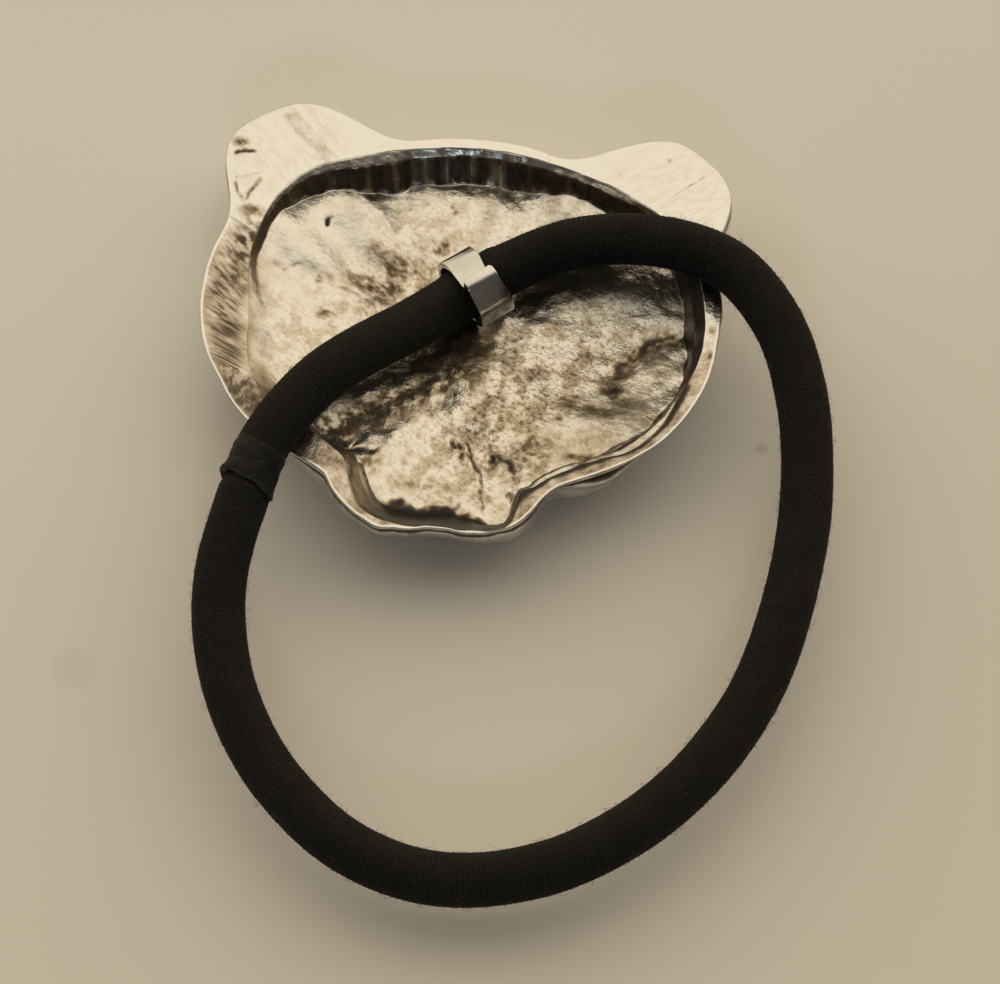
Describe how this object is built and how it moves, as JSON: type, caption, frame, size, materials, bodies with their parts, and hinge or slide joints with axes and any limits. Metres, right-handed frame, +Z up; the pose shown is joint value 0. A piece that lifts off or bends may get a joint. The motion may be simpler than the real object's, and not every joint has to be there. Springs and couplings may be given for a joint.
{
  "type": "hair tie with a metal charm",
  "caption": "Covered elastic hair loop held by a bent metal clip on the hollow back of a cast animal-head charm, lying face down.",
  "frame": {"origin": "Centre of the charm and clip in plan, on the surface that the face-down charm lies on; the elastic is left out of that centre.", "axes": "+Z up from that surface, out of the charm's hollow back; +Y towards the crown of the head between the ears; +X to the right seen from the back."},
  "size_m": [0.049, 0.0651, 0.0113],
  "materials": {
    "antique_silver": "cast zinc alloy, silver plated and darkened in the hollows",
    "bright_plate": "bright plated strip, lightly scuffed",
    "knitted_cover": "matt black wound textile cover with short fuzz",
    "sealed_joint": "black cover pressed and glued at the joint, slightly shiny"
  },
  "bodies": {
    "root": {"cast_head": "antique_silver", "band_clip": "bright_plate", "elastic_cord": "knitted_cover", "splice": "sealed_joint"}
  },
  "joints": []
}
